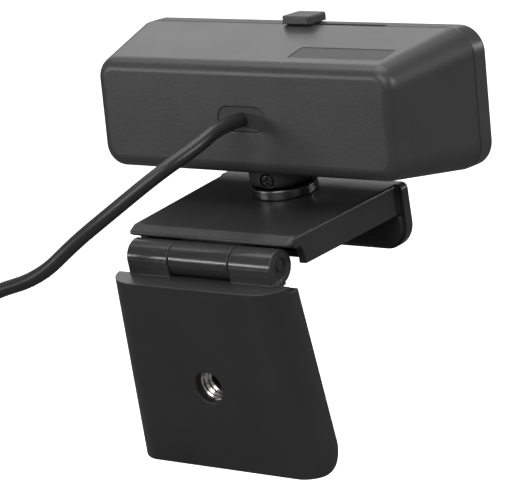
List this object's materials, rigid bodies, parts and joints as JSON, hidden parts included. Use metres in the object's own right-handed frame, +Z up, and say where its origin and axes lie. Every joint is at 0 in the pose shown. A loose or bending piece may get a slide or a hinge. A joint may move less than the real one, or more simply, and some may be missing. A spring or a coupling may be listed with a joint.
{
  "type": "webcam with screen clip",
  "caption": "Screen-top camera whose head tilts and turns on a neck above a clip with a lip, a folding leg and a tripod thread, with a sliding shutter and a coiled lead.",
  "frame": {"origin": "middle of the clip's seat pad, where it rests on the top edge of a screen", "axes": "+Z up, -Y the way the lens faces, +X to the left of someone looking from behind"},
  "size_m": [0.1158, 0.0833, 0.1869],
  "materials": {
    "head_shell": "fine matte moulding",
    "badge": "smooth blank patch",
    "gloss_panel": "gloss",
    "satin_metal": "satin",
    "glass": "clear",
    "black_plastic": "matte",
    "board": "solder mask",
    "chip": "matte",
    "light": "translucent white",
    "rubber": "matte",
    "grommet": "matte",
    "steel": "satin",
    "nickel": "bright",
    "dark_metal": "satin black",
    "collar": "satin black",
    "clip_shell": "satin black",
    "lead_jacket": "matte",
    "tie": "woven",
    "plug_jacket": "matte",
    "plug_tongue": "smooth",
    "gold": "plated"
  },
  "bodies": {
    "clip": {"clip_plate": "clip_shell", "seat_cover": "black_plastic", "cover_screws": "steel", "seat_pad": "rubber", "lip_pad": "rubber", "swivel_disc": "dark_metal", "disc_screws": "steel", "hinge_pin": "steel"},
    "leg": {"leg_shell": "clip_shell", "leg_cover": "black_plastic", "leg_pad": "rubber", "leg_screws": "steel", "tripod_insert": "nickel", "hinge_caps": "dark_metal"},
    "neck": {"neck_collar": "collar", "neck_screw": "steel", "swivel_shaft": "steel", "swivel_washer": "steel", "swivel_nut": "steel"},
    "head": {"rear_housing": "head_shell", "front_frame": "head_shell", "badge_plate": "badge", "front_panel": "gloss_panel", "lens_ring": "satin_metal", "lens_window": "glass", "lens_barrel": "black_plastic", "front_glass": "glass", "rear_glass": "glass", "lens_holder": "black_plastic", "main_board": "board", "image_sensor": "chip", "controller_chip": "chip", "status_led": "light", "microphones": "satin_metal", "mic_gaskets": "rubber", "light_pipe": "light", "board_connector": "light", "board_screws": "steel", "shell_screws": "steel", "cable_grommet": "grommet", "tilt_bracket": "steel", "bracket_screws": "steel", "tilt_pin": "steel", "tilt_clip": "steel", "tilt_washers": "rubber", "usb_cable": "lead_jacket", "cable_coil": "lead_jacket", "cable_tie": "tie", "cable_tail": "lead_jacket", "plug_body": "plug_jacket", "plug_shell": "nickel", "plug_tongue": "plug_tongue", "plug_contacts": "gold"},
    "shutter": {"shutter_slider": "head_shell", "shutter_blade": "black_plastic"}
  },
  "joints": [
    {"name": "leg_fold", "type": "hinge", "parent": "clip", "child": "leg", "pos_m": [0, 0.0229, 0.0014], "axis": [-1, 0, 0], "range_deg": [-25, 60]},
    {"name": "head_pan", "type": "hinge", "parent": "clip", "child": "neck", "pos_m": [0, -0.0068, 0.0072], "axis": [0, 0, 1], "range_deg": [-180, 180]},
    {"name": "head_tilt", "type": "hinge", "parent": "neck", "child": "head", "pos_m": [0, -0.0068, 0.0197], "axis": [1, 0, 0], "range_deg": [-15, 10]},
    {"name": "shutter_slide", "type": "slide", "parent": "head", "child": "shutter", "axis": [-1, 0, 0], "range_m": [0, 0.019]}
  ]
}
